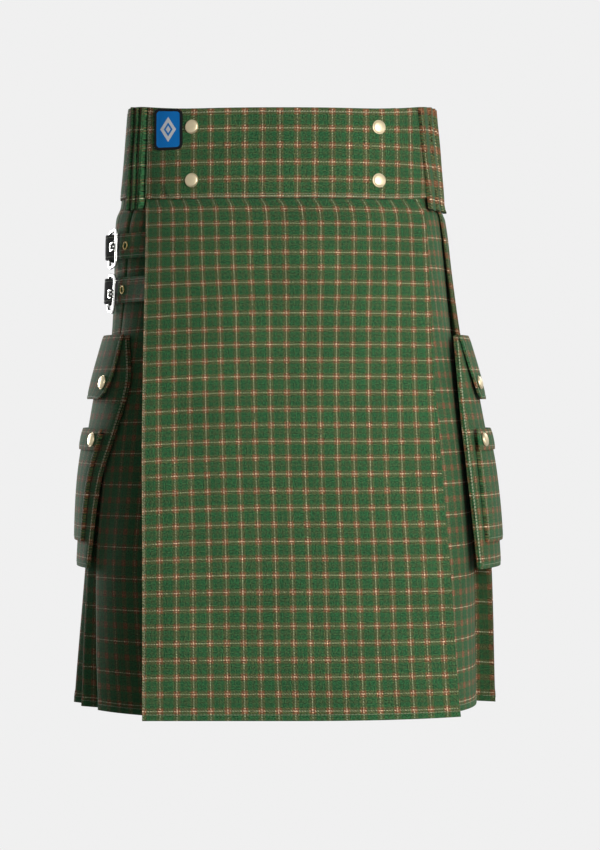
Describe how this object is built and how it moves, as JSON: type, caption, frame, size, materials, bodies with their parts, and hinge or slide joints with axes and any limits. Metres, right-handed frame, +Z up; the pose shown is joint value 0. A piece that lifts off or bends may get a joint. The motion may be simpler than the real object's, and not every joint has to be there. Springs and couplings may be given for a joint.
{
  "type": "utility kilt",
  "caption": "Worn-shape utility kilt: snapped waistband, two aprons, knife pleats, two hip straps with buckles and two flapped cargo pockets.",
  "frame": {"origin": "middle of the waistband's ring, halfway up the waistband, where the wearer's waist holds it", "axes": "+Z up, -Y towards the front apron, +X towards the wearer's left hip, millimetres in the source and metres here"},
  "size_m": [0.4527, 0.3381, 0.617],
  "materials": {
    "twill": "matt checked twill",
    "brass": "pale polished",
    "nickel": "polished",
    "felt": "matt with an embroidered edge"
  },
  "bodies": {
    "root": {"apron_outer": "twill", "apron_under": "twill", "buckle_lower": "nickel", "buckle_upper": "nickel", "chape_lower": "twill", "chape_upper": "twill", "eyelet_lower_1": "brass", "eyelet_lower_2": "brass", "eyelet_lower_3": "brass", "eyelet_upper_1": "brass", "eyelet_upper_2": "brass", "eyelet_upper_3": "brass", "patch": "felt", "pleats_back_left": "twill", "pleats_back_right": "twill", "pleats_left": "twill", "pleats_right": "twill", "pocket_left_back": "twill", "pocket_left_bag": "twill", "pocket_left_flap": "twill", "pocket_left_pouch": "twill", "pocket_left_pouch_flap": "twill", "pocket_right_back": "twill", "pocket_right_bag": "twill", "pocket_right_flap": "twill", "pocket_right_pouch": "twill", "pocket_right_pouch_flap": "twill", "prong_lower": "nickel", "prong_upper": "nickel", "side_panel": "twill", "strap_lower": "twill", "strap_upper": "twill", "stud_band_left_bottom": "brass", "stud_band_left_top": "brass", "stud_band_right_bottom": "brass", "stud_band_right_top": "brass", "stud_left_flap_back": "brass", "stud_left_flap_front": "brass", "stud_left_pouch_flap_back": "brass", "stud_left_pouch_flap_front": "brass", "stud_right_flap_back": "brass", "stud_right_flap_front": "brass", "stud_right_pouch_flap_back": "brass", "stud_right_pouch_flap_front": "brass", "tucks_left": "twill", "tucks_right": "twill", "waistband": "twill"}
  },
  "joints": []
}
